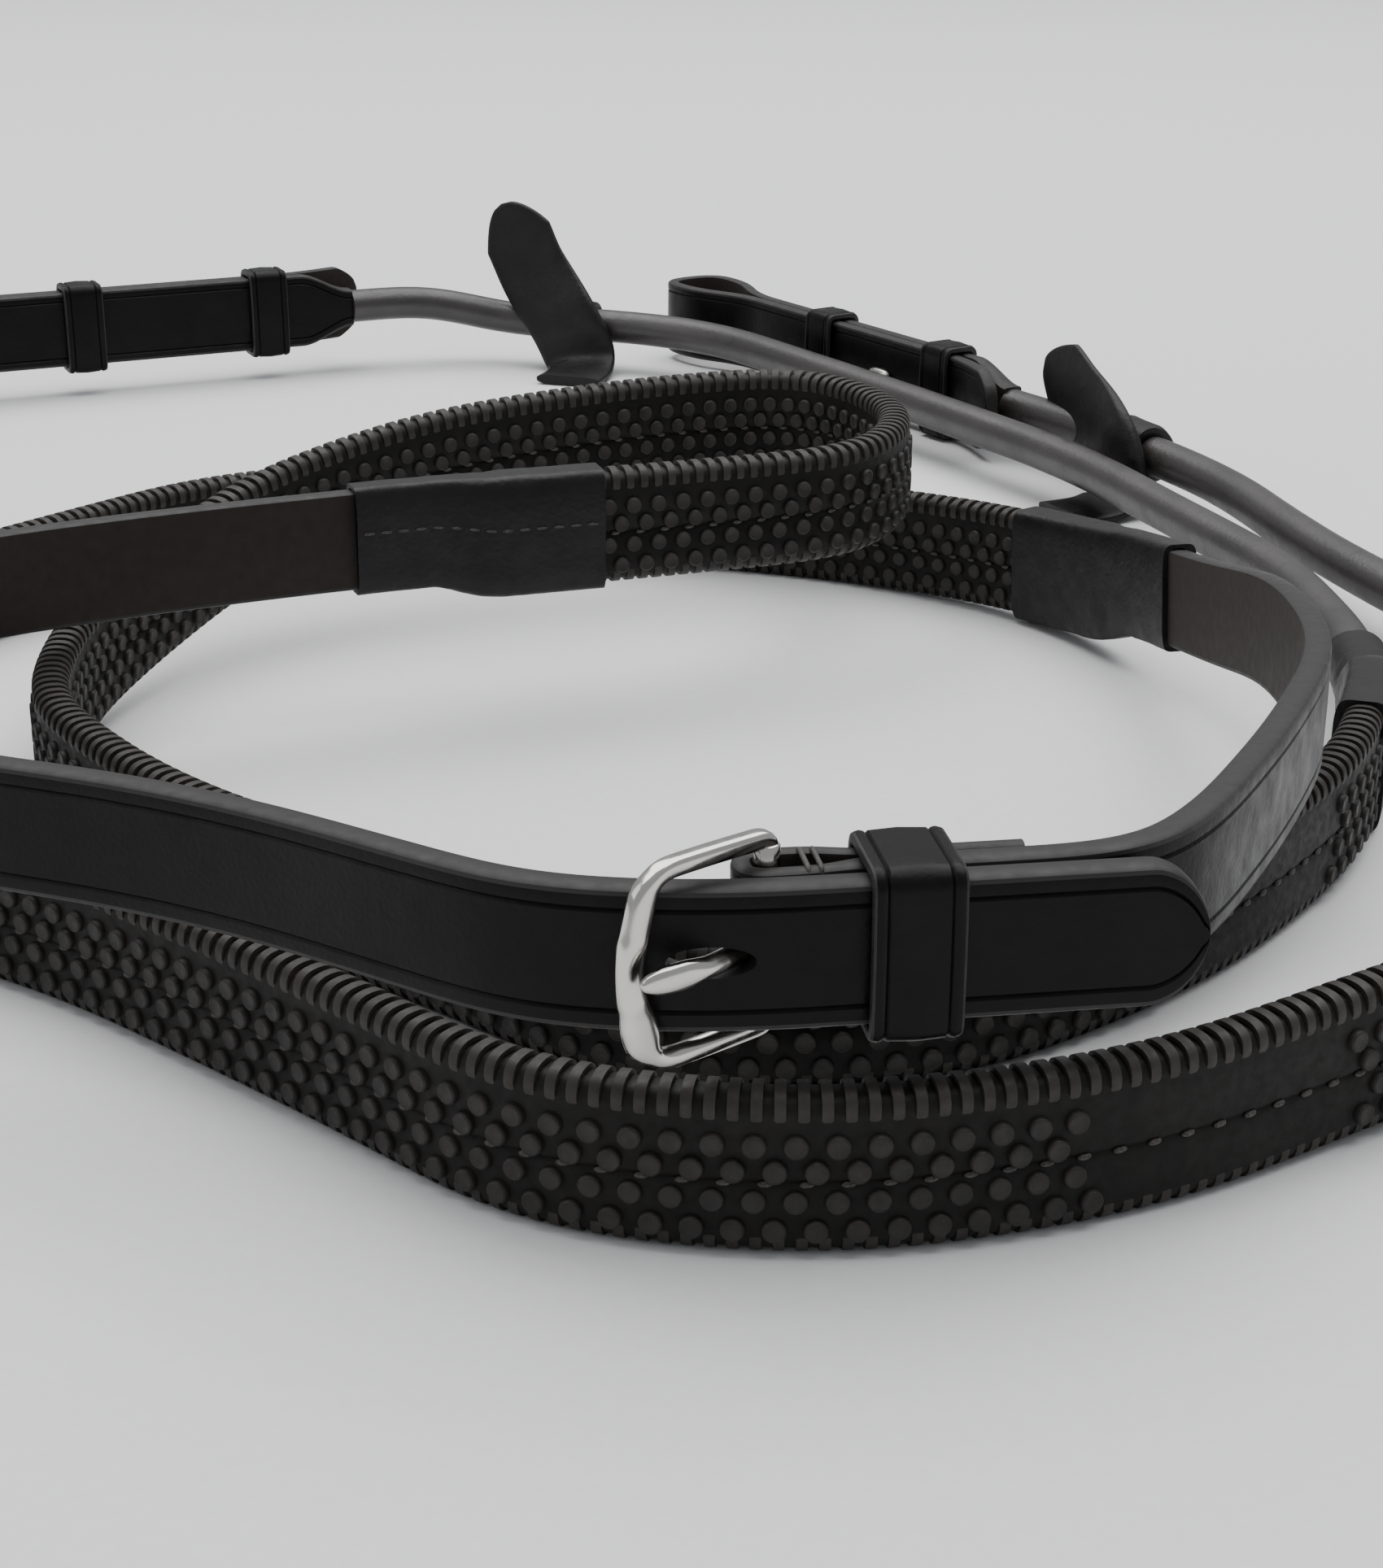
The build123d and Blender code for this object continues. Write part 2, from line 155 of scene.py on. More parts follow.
def resampled(points, step):
    """The same path as evenly spaced points about `step` apart."""
    run = arc_length(points)
    at = np.linspace(0, run[-1], max(2, round(run[-1] / step) + 1))
    return np.column_stack([np.interp(at, run, points[:, axis]) for axis in range(3)])


def rounded_path(corners, step, longest=LONGEST_TANGENT):
    """Path through straight runs whose corners are rounded as far as the runs allow."""
    corners = np.array(corners, float)
    runs = np.diff(corners, axis=0)
    lengths = np.linalg.norm(runs, axis=1)
    ways = runs / lengths[:, None]
    points = [corners[:1]]
    t = np.linspace(0, 1, 25)[:, None]
    for i in range(1, len(corners) - 1):
        tangent = min(0.45 * lengths[i - 1], 0.45 * lengths[i], longest)
        start = corners[i] - ways[i - 1] * tangent
        end = corners[i] + ways[i] * tangent
        points.append((1 - t) ** 2 * start + 2 * t * (1 - t) * corners[i] + t * t * end)
    points.append(corners[-1:])
    return resampled(np.vstack(points), step)


def smoothed(points, reach):
    """Path evened out over `reach` stations each way, with its ends kept."""
    size = 3 * reach
    weights = np.exp(-0.5 * (np.arange(-size, size + 1) / reach) ** 2)
    weights /= weights.sum()
    before = 2 * points[0] - points[size:0:-1]
    after = 2 * points[-1] - points[-2:-size - 2:-1]
    padded = np.vstack([before, points, after])
    return np.column_stack([np.convolve(padded[:, axis], weights, "valid") for axis in range(3)])


def nearest(path, point):
    return int(np.argmin(np.linalg.norm(path - point, axis=1)))


def axes_along(path):
    """Unit vectors at each station: along the path, level to its left, and up across it."""
    along = unit(np.gradient(path, axis=0))
    left = unit(np.cross(UP, along))
    return along, left, np.cross(along, left)


def signed_power(x, power):
    return np.sign(x) * np.abs(x) ** power


def smooth_step(x):
    x = np.clip(x, 0, 1)
    return x * x * (3 - 2 * x)


def waves(x, y, seed, terms=6):
    """Smooth irregular field between about -1 and 1, from a few sine waves."""
    draw = np.random.default_rng(seed)
    total = np.zeros(np.broadcast(x, y).shape)
    for _ in range(terms):
        angle, speed, phase = draw.uniform(0, math.pi), draw.uniform(0.6, 1.9), draw.uniform(0, 6)
        total = total + np.sin(speed * (x * math.cos(angle) + y * math.sin(angle)) + phase)
    return total / math.sqrt(terms) / 1.4


# ---- meshes -------------------------------------------------------------------------------------
def quads(index):
    """Quads between neighbouring rows of point numbers, each row closed round."""
    right = np.roll(index, -1, axis=1)
    return np.stack([index[:-1], right[:-1], right[1:], index[1:]], axis=-1).reshape(-1, 4)


class Mesh:
    """Vertices in millimetres, faces, a material number per face and a lay-along coordinate."""

    def __init__(self):
        self.points = []
        self.lay = []
        self.faces = []
        self.numbers = []
        self.count = 0

    def add(self, points, faces, numbers, lay=None):
        points = np.asarray(points, float).reshape(-1, 3)
        self.faces += [tuple(int(i) + self.count for i in face) for face in faces]
        self.numbers += list(numbers)
        self.points.append(points)
        self.lay.append(points if lay is None else np.asarray(lay, float).reshape(-1, 3))
        self.count += len(points)

    def grid(self, rows, numbers=None, lay=None, loop=False):
        """Tube of rows of points, capped or joined into a ring, with a material per column."""
        height, width = rows.shape[:2]
        numbers = numbers or [0] * width
        index = np.arange(height * width).reshape(height, width)
        if loop:
            index = np.vstack([index, index[:1]])
        faces = quads(index).tolist()
        marks = list(numbers) * (len(index) - 1)
        if not loop:
            faces += [index[0][::-1].tolist(), index[-1].tolist()]
            marks += [numbers[-1], numbers[-1]]
        self.add(rows, faces, marks, lay)

    def copies(self, template, centres, axes, number):
        """A small closed shape at each centre; `axes` holds its x, y and z as rows."""
        shape, faces = template
        points = np.einsum("pk,nkj->npj", shape, axes) + centres[:, None, :]
        step = len(shape)
        every = [tuple(i + step * n for i in face) for n in range(len(centres)) for face in faces]
        self.add(points, every, [number] * len(every))


def mesh_data(name, mesh, materials):
    """Blender mesh made from a Mesh, in metres."""
    data = bpy.data.meshes.new(name)
    data.from_pydata((np.vstack(mesh.points) * MM).tolist(), [], mesh.faces)
    data.polygons.foreach_set("material_index", mesh.numbers)
    for material in materials:
        data.materials.append(material)
    return data


def linked(name, data):
    thing = bpy.data.objects.new(name, data)
    bpy.context.scene.collection.objects.link(thing)
    return thing


def piece(name, mesh, materials, body, nodes, sharp=35):
    """Blender object made from a Mesh, riding on a body and standing for CAD nodes."""
    data = mesh_data(name, mesh, materials)
    data.polygons.foreach_set("use_smooth", [True] * len(mesh.faces))
    lay = data.attributes.new("lay", "FLOAT_VECTOR", "POINT")
    lay.data.foreach_set("vector", (np.vstack(mesh.lay) * MM).ravel().astype(np.float32))
    data.validate()
    data.set_sharp_from_angle(angle=math.radians(sharp))
    thing = linked(name, data)
    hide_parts(*nodes)
    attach(thing, body)
    return thing


def rein_piece(side, kind, mesh, materials, sharp=35, node=None, body="straps"):
    """Piece of rein A or B that stands for that rein's node of the same kind, or for `node`."""
    return piece(f"rein_{side}_{kind}", mesh, materials, body, [f"{side}_{node or kind}"],
                 sharp)


def lathe(rings, sides):
    """Template turned about z from (radius, height) rings, closed at both ends."""
    points = [(r * math.cos(a), r * math.sin(a), h) for r, h in rings for a in full_turn(sides)]
    index = np.arange(len(points)).reshape(-1, sides)
    return np.array(points), quads(index).tolist() + [index[-1].tolist(), index[0][::-1].tolist()]


def bead(length, radius, sides=7, rings=7):
    """Template of a thread piece that lies along x."""
    heights = -np.cos(np.linspace(0.15, math.pi - 0.15, rings))
    shape, faces = lathe([(radius * math.sqrt(1 - h * h) ** 0.7, h * length / 2) for h in heights],
                         sides)
    return shape[:, [2, 0, 1]], faces


# ---- materials ----------------------------------------------------------------------------------
class Shader:
    """Node tree of one material, with short helpers."""

    def __init__(self, name, colour, roughness, **sockets):
        self.material = bpy.data.materials.new(name)
        self.material.use_nodes = True
        self.tree = self.material.node_tree
        self.surface = self.tree.nodes["Principled BSDF"]
        self.surface.inputs["Base Color"].default_value = (*colour, 1)
        self.surface.inputs["Roughness"].default_value = roughness
        for socket, value in sockets.items():
            self.surface.inputs[socket.replace("_", " ")].default_value = value
        self.place = self.node("ShaderNodeTexCoord").outputs["Object"]
        lay = self.node("ShaderNodeAttribute")
        lay.attribute_name = "lay"
        self.lay = lay.outputs["Vector"]
        self.last_bump = None

    def node(self, kind, **values):
        made = self.tree.nodes.new(kind)
        for key, value in values.items():
            setattr(made, key, value)
        return made

    def link(self, source, target):
        self.tree.links.new(source, target)

    def noise(self, scale, detail, rough=0.55, where=None, stretch=None):
        noise = self.node("ShaderNodeTexNoise")
        noise.inputs["Scale"].default_value = scale
        noise.inputs["Detail"].default_value = detail
        noise.inputs["Roughness"].default_value = rough
        self.link(self.stretched(where or self.place, stretch), noise.inputs["Vector"])
        return noise.outputs["Fac"]

    def stretched(self, source, stretch):
        if stretch is None:
            return source
        mapping = self.node("ShaderNodeMapping")
        mapping.inputs["Scale"].default_value = stretch
        self.link(source, mapping.inputs["Vector"])
        return mapping.outputs["Vector"]

    def cells(self, scale):
        cells = self.node("ShaderNodeTexVoronoi", feature="SMOOTH_F1")
        cells.inputs["Scale"].default_value = scale
        self.link(self.place, cells.inputs["Vector"])
        return cells.outputs["Distance"]

    def ramp(self, source, low, high, start, end):
        """Colour that goes from `start` to `end` as the source goes from low to high."""
        ramp = self.node("ShaderNodeValToRGB")
        for stop, position, colour in zip(ramp.color_ramp.elements, (low, high), (start, end)):
            stop.position = position
            stop.color = (*colour, 1)
        self.link(source, ramp.inputs["Fac"])
        return ramp.outputs["Color"]

    def colour(self, source, low, high, start, end):
        self.link(self.ramp(source, low, high, start, end), self.surface.inputs["Base Color"])

    def roughness(self, source, low, high):
        self.link(self.ramp(source, 0.3, 0.7, (low,) * 3, (high,) * 3),
                  self.surface.inputs["Roughness"])

    def bump(self, source, depth, strength):
        """Adds a height layer `depth` metres deep on top of the ones already there."""
        bump = self.node("ShaderNodeBump")
        bump.inputs["Distance"].default_value = depth
        bump.inputs["Strength"].default_value = strength
        self.link(source, bump.inputs["Height"])
        if self.last_bump is not None:
            self.link(self.last_bump, bump.inputs["Normal"])
        self.last_bump = bump.outputs["Normal"]
        self.link(self.last_bump, self.surface.inputs["Normal"])


def grain_leather(name, colour, lighter, roughness, shine, pore=1500, depth=0.00006):
    """Smooth-dyed leather: fine pebbled grain, pores, and uneven polish."""
    shader = Shader(name, colour, roughness, Specular_IOR_Level=shine)
    shader.colour(shader.noise(60, 5), 0.35, 0.75, colour, lighter)
    shader.roughness(shader.noise(220, 6, 0.65), roughness - 0.07, roughness + 0.1)
    shader.bump(shader.noise(90, 3), 0.00022, 0.35)
    shader.bump(shader.cells(pore), depth, 0.55)
    shader.bump(shader.noise(4200, 3, 0.7), depth * 0.5, 0.5)
    return shader.material


def fibre_leather(name, colour, lighter, roughness, depth):
    """Cut edge or flesh side: fibres lie along the strap."""
    shader = Shader(name, colour, roughness, Specular_IOR_Level=0.35)
    fibres = shader.noise(2600, 5, 0.7, shader.lay, (0.12, 1, 1))
    shader.colour(fibres, 0.3, 0.75, colour, lighter)
    shader.roughness(shader.noise(500, 4), roughness - 0.06, roughness + 0.08)
    shader.bump(shader.noise(160, 3), depth * 2, 0.4)
    shader.bump(fibres, depth, 0.7)
    return shader.material


def soft_leather_look():
    """Thin glove-like leather of the sleeves and stops: creased, with a low gloss."""
    shader = Shader("sleeve_leather", (0.006, 0.0052, 0.0052), 0.46, Specular_IOR_Level=0.28)
    shader.colour(shader.noise(130, 5), 0.3, 0.75, (0.0045, 0.004, 0.004), (0.01, 0.009, 0.009))
    shader.roughness(shader.noise(300, 5), 0.4, 0.56)
    shader.bump(shader.noise(230, 5, 0.6), 0.0004, 0.5)
    shader.bump(shader.cells(1200), 0.00009, 0.6)
    return shader.material


def rubber_look():
    """Moulded brown-black rubber with a dusty bloom."""
    shader = Shader("grip_rubber", (0.006, 0.0048, 0.0038), 0.56, Specular_IOR_Level=0.22)
    bloom = shader.noise(150, 6, 0.65)
    shader.colour(bloom, 0.35, 0.72, (0.0042, 0.0034, 0.0028), (0.0085, 0.0069, 0.0054))
    shader.roughness(shader.noise(700, 4), 0.48, 0.66)
    shader.bump(shader.noise(1900, 4, 0.6), 0.00005, 0.6)
    return shader.material


def rubber_with_painted_highlight(name, colour, lighter):
    """The ribs and the tops of the dots, a little lighter than the grip: painted highlight for the
    light they catch.
    """
    shader = Shader(name, colour, 0.55, Specular_IOR_Level=0.45)
    shader.colour(shader.noise(260, 6, 0.65), 0.3, 0.75, colour, lighter)
    shader.roughness(shader.noise(700, 4), 0.5, 0.7)
    shader.bump(shader.noise(2300, 4, 0.6), 0.00005, 0.7)
    return shader.material


def steel_look(name, colour, roughness):
    """Polished stainless steel with hairline scratches and faint haze."""
    shader = Shader(name, colour, roughness, Metallic=1.0)
    shader.colour(shader.noise(90, 3), 0.3, 0.8, tuple(0.92 * c for c in colour), colour)
    scratches = shader.noise(900, 6, 0.7, None, (1, 1, 0.06))
    shader.roughness(scratches, roughness - 0.05, roughness + 0.09)
    shader.bump(scratches, 0.000012, 0.35)
    shader.bump(shader.noise(140, 2), 0.00006, 0.25)
    return shader.material


def thread_look():
    shader = Shader("waxed_thread", (0.04, 0.036, 0.032), 0.6)
    twist = shader.noise(3200, 3, 0.6)
    shader.colour(twist, 0.35, 0.7, (0.02, 0.018, 0.016), (0.085, 0.076, 0.068))
    shader.bump(twist, 0.00008, 0.8)
    return shader.material


def floor_look():
    shader = Shader("studio_floor", (0.78, 0.78, 0.785), 0.9, Specular_IOR_Level=0.2)
    shader.colour(shader.noise(500, 4), 0.2, 0.8, (0.76, 0.76, 0.766), (0.8, 0.8, 0.804))
    shader.bump(shader.noise(900, 4), 0.00005, 0.3)
    return shader.material


GRAIN = grain_leather("bridle_leather", (0.0028, 0.0023, 0.0025), (0.0056, 0.0047, 0.005), 0.36,
                      0.13)
EDGE = fibre_leather("cut_edge", (0.009, 0.0078, 0.0075), (0.03, 0.027, 0.026), 0.55, 0.00012)
FLESH = fibre_leather("flesh_side", (0.0135, 0.0095, 0.0078), (0.0225, 0.016, 0.0132), 0.72, 0.0001)
SOFT = soft_leather_look()
# The rolled leather's colour is several times lighter than the strap leather's: painted highlight
# for the satin sheen it shows.
ROLLED = grain_leather("rolled_leather", (0.02, 0.017, 0.016), (0.036, 0.031, 0.029), 0.4, 0.7,
                       1200, 0.00008)
RUBBER = rubber_look()
# Ribs and dots are lighter than the grip: painted highlight for the light they catch from above.
RIB = rubber_with_painted_highlight("rib_rubber", (0.013, 0.0108, 0.009), (0.032, 0.0268, 0.0222))
DOTS = rubber_with_painted_highlight("dot_rubber", (0.0095, 0.008, 0.0068), (0.023, 0.0188, 0.0155))
STEEL = steel_look("buckle_steel", (0.62, 0.605, 0.575), 0.16)
STUD_STEEL = steel_look("stud_steel", (0.58, 0.57, 0.54), 0.26)
THREAD = thread_look()
CORE = fibre_leather("core_leather", (0.03, 0.021, 0.017), (0.05, 0.036, 0.03), 0.75, 0.0001)
LEATHERS = [GRAIN, EDGE, FLESH]

# ---- outlines of cross-sections -----------------------------------------------------------------
# A point of a strap's outline is (share of the thickness, offset, share of the width, offset,
# material of the face that follows): the offsets are millimetres, so bevels and creases keep
# their size where the strap gets narrower or thinner.
FACE, CUT, BACK = 0, 1, 2


def strap_outline(crease):
    """Upright strap: grain face with a crease along each edge, rounded edges, flesh face."""
    face = [(0.5, 0, -0.5, 0.8, FACE)]
    for sign in (-1, 1):
        groove = [(0.5, 0, 0.5 * sign, -sign * crease - 0.32, FACE),
                  (0.5, -0.26, 0.5 * sign, -sign * crease, FACE),
                  (0.5, 0, 0.5 * sign, -sign * crease + 0.32, FACE)]
        face += groove
        if sign < 0:
            face.append((0.5, 0.06, 0, 0, FACE))
    face.append((0.5, 0, 0.5, -0.8, CUT))
    top = [(0.5, -0.14, 0.5, -0.34, CUT), (0.5, -0.5, 0.5, -0.06, CUT), (0, 0, 0.5, 0.05, CUT),
           (-0.5, 0.4, 0.5, -0.05, CUT), (-0.5, 0.1, 0.5, -0.25, BACK)]
    back = [(-0.5, 0, 0.5, -0.7, BACK), (-0.5, 0, 0, 0, BACK), (-0.5, 0, -0.5, 0.7, CUT)]
    bottom = [(a, b, -c, -d, CUT) for a, b, c, d, _ in reversed(top)]
    return face + top + back + bottom


def strap_rows(path, width, thick, grain, outline):
    """Rows of points of an upright strap, its material per column and its lay coordinates."""
    table = np.array([point[:4] for point in outline])
    width = np.broadcast_to(width, len(path))[:, None]
    thick = np.broadcast_to(thick, len(path))[:, None]
    small = np.clip(width / 8, 0, 1)
    side = grain * (table[:, 0] * thick + table[:, 1] * small)
    high = table[:, 2] * width + table[:, 3] * small
    if grain < 0:
        side, high = side[:, ::-1], high[:, ::-1]
    numbers = [point[4] for point in outline]
    if grain < 0:
        numbers = numbers[-2::-1] + numbers[-1:]
    rows, lay = tube_rows(path, side, high)
    return rows, numbers, lay


def superellipse(count, power):
    """Unit outline of `count` points, round at power 2 and boxy at a high power."""
    turn = full_turn(count) + math.pi / count
    power = np.atleast_1d(power)[:, None]
    return signed_power(np.cos(turn), 2 / power), signed_power(np.sin(turn), 2 / power)


def tube_rows(path, side, high):
    """Rows of points round a path, and their lay coordinates: along, across and deep."""
    _, left, up = axes_along(path)
    rows = path[:, None] + side[..., None] * left[:, None] + high[..., None] * up[:, None]
    run = arc_length(path)[:, None] + 0 * side
    return rows, np.stack([run, high, side], axis=-1)


def make_strap(side, kind, path, width, thick, grain, crease):
    mesh = Mesh()
    mesh.grid(*strap_rows(path, width, thick, grain, strap_outline(crease)))
    return rein_piece(side, kind, mesh, LEATHERS)


# ---- one rein -----------------------------------------------------------------------------------
def run_middle(route, run, shift=0.0):
    along = route[run + 1] - route[run]
    return route[run] + along / 2 + unit(along) * shift


def rein_line(spec):
    """Centre line of a whole rein and the stations at which its pieces meet."""
    route = placed(spec["route"])
    path = smoothed(rounded_path(route, STEP), 4)
    marks = {}
    for name in ("hand_sleeve", "bit_sleeve"):
        marks[name] = [nearest(path, run_middle(route, run)) for run in spec[name]]
    for name in ("hand_joint", "bit_joint"):
        marks[name] = nearest(path, run_middle(route, spec[name]))
    return route, path, marks


def rubber_rows(path):
    """Rubber grip: rounded edges and a sewn groove along both faces."""
    half_t, half_w = RUBBER_T / 2, RUBBER_W / 2
    groove = [(half_t, GROOVE - 0.75), (half_t - 0.42, GROOVE), (half_t, GROOVE + 0.75)]
    corner = [(half_t, half_w - 2.6), (half_t - 0.3, half_w - 1.5), (half_t - 1.0, half_w - 0.8),
              (0.9, half_w - 0.55)]
    flat, upright = np.array([1, -1]), np.array([-1, 1])
    right = corner[::-1] * flat, groove, corner
    left = corner[::-1] * upright, groove[::-1] * upright, -np.array(corner)
    outline = np.roll(np.vstack(right + left), -3, axis=0)
    side = np.broadcast_to(outline[:, 0], (len(path), len(outline)))
    high = np.broadcast_to(outline[:, 1], (len(path), len(outline)))
    return tube_rows(path, side, high)


def along_path(path, at):
    """Point and axes of a path at the given lengths."""
    run = arc_length(path)
    along, left, up = axes_along(path)
    pick = [np.column_stack([np.interp(at, run, field[:, axis]) for axis in range(3)])
            for field in (path, along, left, up)]
    return pick[0], unit(pick[1]), unit(pick[2]), unit(pick[3])


DOT_PITCH = 4.45
DOT_ROWS = (3.5, 7.1, 10.8, 13.9)       # above the lower edge
DOT = lathe([(1.5, -0.4), (1.44, 0.1), (1.42, 0.4), (1.34, 0.62), (1.14, 0.74), (0.98, 0.66)], 18)
STITCH = bead(1.7, 0.42)
GROOVE = -0.8                           # height of the sewn groove above the middle of the grip
RIBS, SEAM, DOT_TOPS = 1, 2, 3          # material numbers on the grip; its body is 0
SKIN, SEWING = 0, 1                     # and on a sleeve


def add_dots(mesh, path, plain):
    """Raised dots on both faces; `plain` gives the side, start and end of a smooth stretch."""
    length = arc_length(path)[-1]
    ends = placed(plain["ends"])
    for side in (-1, 1):
        for row, height in enumerate(DOT_ROWS):
            at = np.arange(2.5 + (row % 2) * DOT_PITCH / 2, length - 2, DOT_PITCH)
            if side == plain["side"]:
                start, end = (arc_length(path)[nearest(path, point)] for point in ends)
                bulge = 3.5 * math.cos((row - 1.5) * 0.75)
                at = at[(at < start - bulge) | (at > end + bulge)]
            point, along, left, up = along_path(path, at)
            centre = point + side * left * RUBBER_T / 2 + up * (height - RUBBER_W / 2)
            axes = np.stack([along * side, up, left * side], axis=1)
            mesh.copies(DOT, centre, axes, DOT_TOPS)


def add_seam(mesh, path):
    """Sewing along the groove of both faces."""
    length = arc_length(path)[-1]
    at = np.arange(1.5, length - 2, DOT_PITCH)
    for side in (-1, 1):
        point, along, left, up = along_path(path, at)
        tilt = unit(along + 0.1 * up)
        centre = point + side * left * (RUBBER_T / 2 - 0.12) + up * GROOVE
        axes = np.stack([tilt, unit(np.cross(left, tilt)), left], axis=1)
        mesh.copies(STITCH, centre, axes, SEAM)


RIB_PITCH = 2.5
RIB_W = 1.4


def rib_template(drop, proud):
    """One rib that bends over an edge of the grip and runs `drop` down both faces."""
    half_t, half_w = RUBBER_T / 2, RUBBER_W / 2
    turn = np.radians(np.arange(0, 181, 15))
    bend = 2.4
    side = signed_power(np.cos(turn), 0.8) * (half_t + proud)
    high = np.sin(turn) ** 0.8 * (bend + proud) - bend
    line = [(half_t - 0.2, -drop), *zip(side, high), (-half_t + 0.2, -drop)]
    centre = np.array([0.0, -bend])
    outer = np.array(line)
    inner = outer + (centre - outer) * 0.22
    half = RIB_W / 2
    sections = [(-half, inner), (-half + 0.05, outer * 0.985), (-half + 0.3, outer),
                (half - 0.3, outer), (half - 0.05, outer * 0.985), (half, inner)]
    points = [(x, y, z + half_w) for x, ring in sections for y, z in ring]
    index = np.arange(len(points)).reshape(len(sections), -1)
    after = np.roll(index, -1, axis=0)
    faces = np.stack([index[:, :-1], index[:, 1:], after[:, 1:], after[:, :-1]], axis=-1)
    ends = [index[:, 0].tolist(), index[::-1, -1].tolist()]
    return np.array(points), faces.reshape(-1, 4).tolist() + ends


def add_ribs(mesh, path):
    """Ribs over the upper edge, and finer ones under the lower edge."""
    length = arc_length(path)[-1]
    at = np.arange(1.5, length - 1, RIB_PITCH)
    point, along, left, up = along_path(path, at)
    for side, drop, proud in ((1, 3.9, 0.2), (-1, 3.0, 0.0)):
        axes = np.stack([along, side * left, side * up], axis=1)
        mesh.copies(rib_template(drop, proud), point, axes, RIBS)


def make_rubber(side, path, marks, plain):
    part = path[marks["hand_joint"]:marks["bit_joint"] + 1]
    mesh = Mesh()
    rows, lay = rubber_rows(part)
    mesh.grid(rows, lay=lay)
    add_dots(mesh, part, plain)
    add_ribs(mesh, part)
    add_seam(mesh, part)
    rein_piece(side, "rubber", mesh, [RUBBER, RIB, THREAD, DOTS], 40, "rubber_grip")


def sleeve_shape(path, width, thick, power, flap_side, seed, crumple):
    """Outer and inner rows of a soft sleeve with a sewn lengthwise overlap and small creases."""
    count = 56
    unit_side, unit_high = superellipse(count, power)
    run = arc_length(path)[:, None]
    side = unit_side * thick[:, None] / 2
    high = unit_high * width[:, None] / 2
    around = np.arange(count)[None] * 0.36
    broad, fine = waves(run * 0.55, around, seed), waves(run * 1.5, around * 2, seed + 1)
    swell = crumple[:, None] * (broad + 0.5 * fine)
    flap = 0.5 * smooth_step((high - 0.2) / 0.5) * (unit_side * flap_side > 0.2)
    reach = np.hypot(side, high) + 1e-6
    outer_side = side + flap_side * flap + swell * side / reach
    outer_high = high + swell * 0.5 * high / reach
    inner_side = np.sign(side) * np.maximum(np.abs(side) - SLEEVE_WALL, 0.1)
    inner_high = np.sign(high) * np.maximum(np.abs(high) - SLEEVE_WALL * 0.6, 0.1)
    return tube_rows(path, outer_side, outer_high), tube_rows(path, inner_side, inner_high)


def add_sleeve(mesh, outer, inner):
    """Hollow sleeve: outer skin, inner skin and a rim at each end."""
    (skin, lay), (lining, _) = outer, inner
    height, width = skin.shape[:2]
    points = np.stack([skin, lining])
    index = np.arange(2 * height * width).reshape(2, height, width)
    faces = []
    for rows, turn in ((index[0], 1), (index[1], -1), (index[:, 0], -1), (index[:, -1], 1)):
        faces += quads(rows)[:, ::turn].tolist()
    mesh.add(points, faces, [SKIN] * len(faces), np.stack([lay, lay]))


def add_sleeve_stitches(mesh, path, thick, flap_side, height):
    at = np.arange(2.0, arc_length(path)[-1] - 1.5, 3.0)
    point, along, left, up = along_path(path, at)
    depth = np.interp(at, arc_length(path), thick)[:, None] / 2 + 0.42
    centre = point + flap_side * left * depth + up * height
    mesh.copies(bead(1.9, 0.26), centre, np.stack([along, up, left], axis=1), SEWING)


def sleeve_path(path, marks, kind):
    """Centre line under a sleeve, and the share of its length at each station."""
    start, end = marks[kind]
    part = resampled(path[start:end + 1], SLEEVE_STEP)
    return part, arc_length(part) / arc_length(part)[-1]


def make_hand_sleeve(side, path, marks, flap_side, seed):
    part, run = sleeve_path(path, marks, "hand_sleeve")
    over_rubber = smooth_step((run - 0.3) / 0.3)
    part = part + HAND_RISE * (1 - over_rubber)[:, None] * UP
    thick = HAND_SLEEVE_T + OVER_RUBBER_T * over_rubber
    width = HAND_SLEEVE_W + OVER_RUBBER_W * over_rubber
    crumple = 0.07 + 0.1 * np.exp(-((run - 0.5) / 0.12) ** 2)
    mesh = Mesh()
    power = SLEEVE_POWER + 0 * run
    add_sleeve(mesh, *sleeve_shape(part, width, thick, power, flap_side, seed, crumple))
    add_sleeve_stitches(mesh, part, thick, flap_side, 1.6)
    rein_piece(side, "hand_sleeve", mesh, [SOFT, THREAD], 50)


def make_bit_sleeve(side, path, marks, seed):
    start, end = marks["bit_sleeve"]
    part, run = sleeve_path(path, marks, "bit_sleeve")
    joint = (marks["bit_joint"] - start) / (end - start)
    taper = smooth_step((run - joint + 0.12) / 0.3)
    width = SLEEVE_W + (SLEEVE_END_W - SLEEVE_W) * taper
    thick = SLEEVE_T + (SLEEVE_END_T - SLEEVE_T) * taper
    power = SLEEVE_POWER + (2.1 - SLEEVE_POWER) * taper
    crumple = 0.07 + 0.3 * np.exp(-((run - joint - 0.05) / 0.16) ** 2)
    mesh = Mesh()
    add_sleeve(mesh, *sleeve_shape(part, width, thick, power, 1, seed, crumple))
    rein_piece(side, "bit_sleeve", mesh, [SOFT], 50)


def make_rolled(side, path, marks):
    """Rolled leather with its butted seam along the lower inner side."""
    part = path[marks["bit_joint"]:]
    count = 28
    turn = full_turn(count)
    seam = np.exp(-(((turn - 4.1) + math.pi) % (2 * math.pi) - math.pi) ** 2 / 0.03)
    radius = ROLLED_R - 0.35 * seam
    run = arc_length(part)[:, None]
    uneven = 1 + 0.012 * waves(run * 0.12, turn[None], 7)
    mesh = Mesh()
    rows, lay = tube_rows(part, radius * np.cos(turn) * uneven, radius * np.sin(turn) * uneven)
    mesh.grid(rows, lay=lay)
    rein_piece(side, "rolled", mesh, [ROLLED], node="rolled_strap")


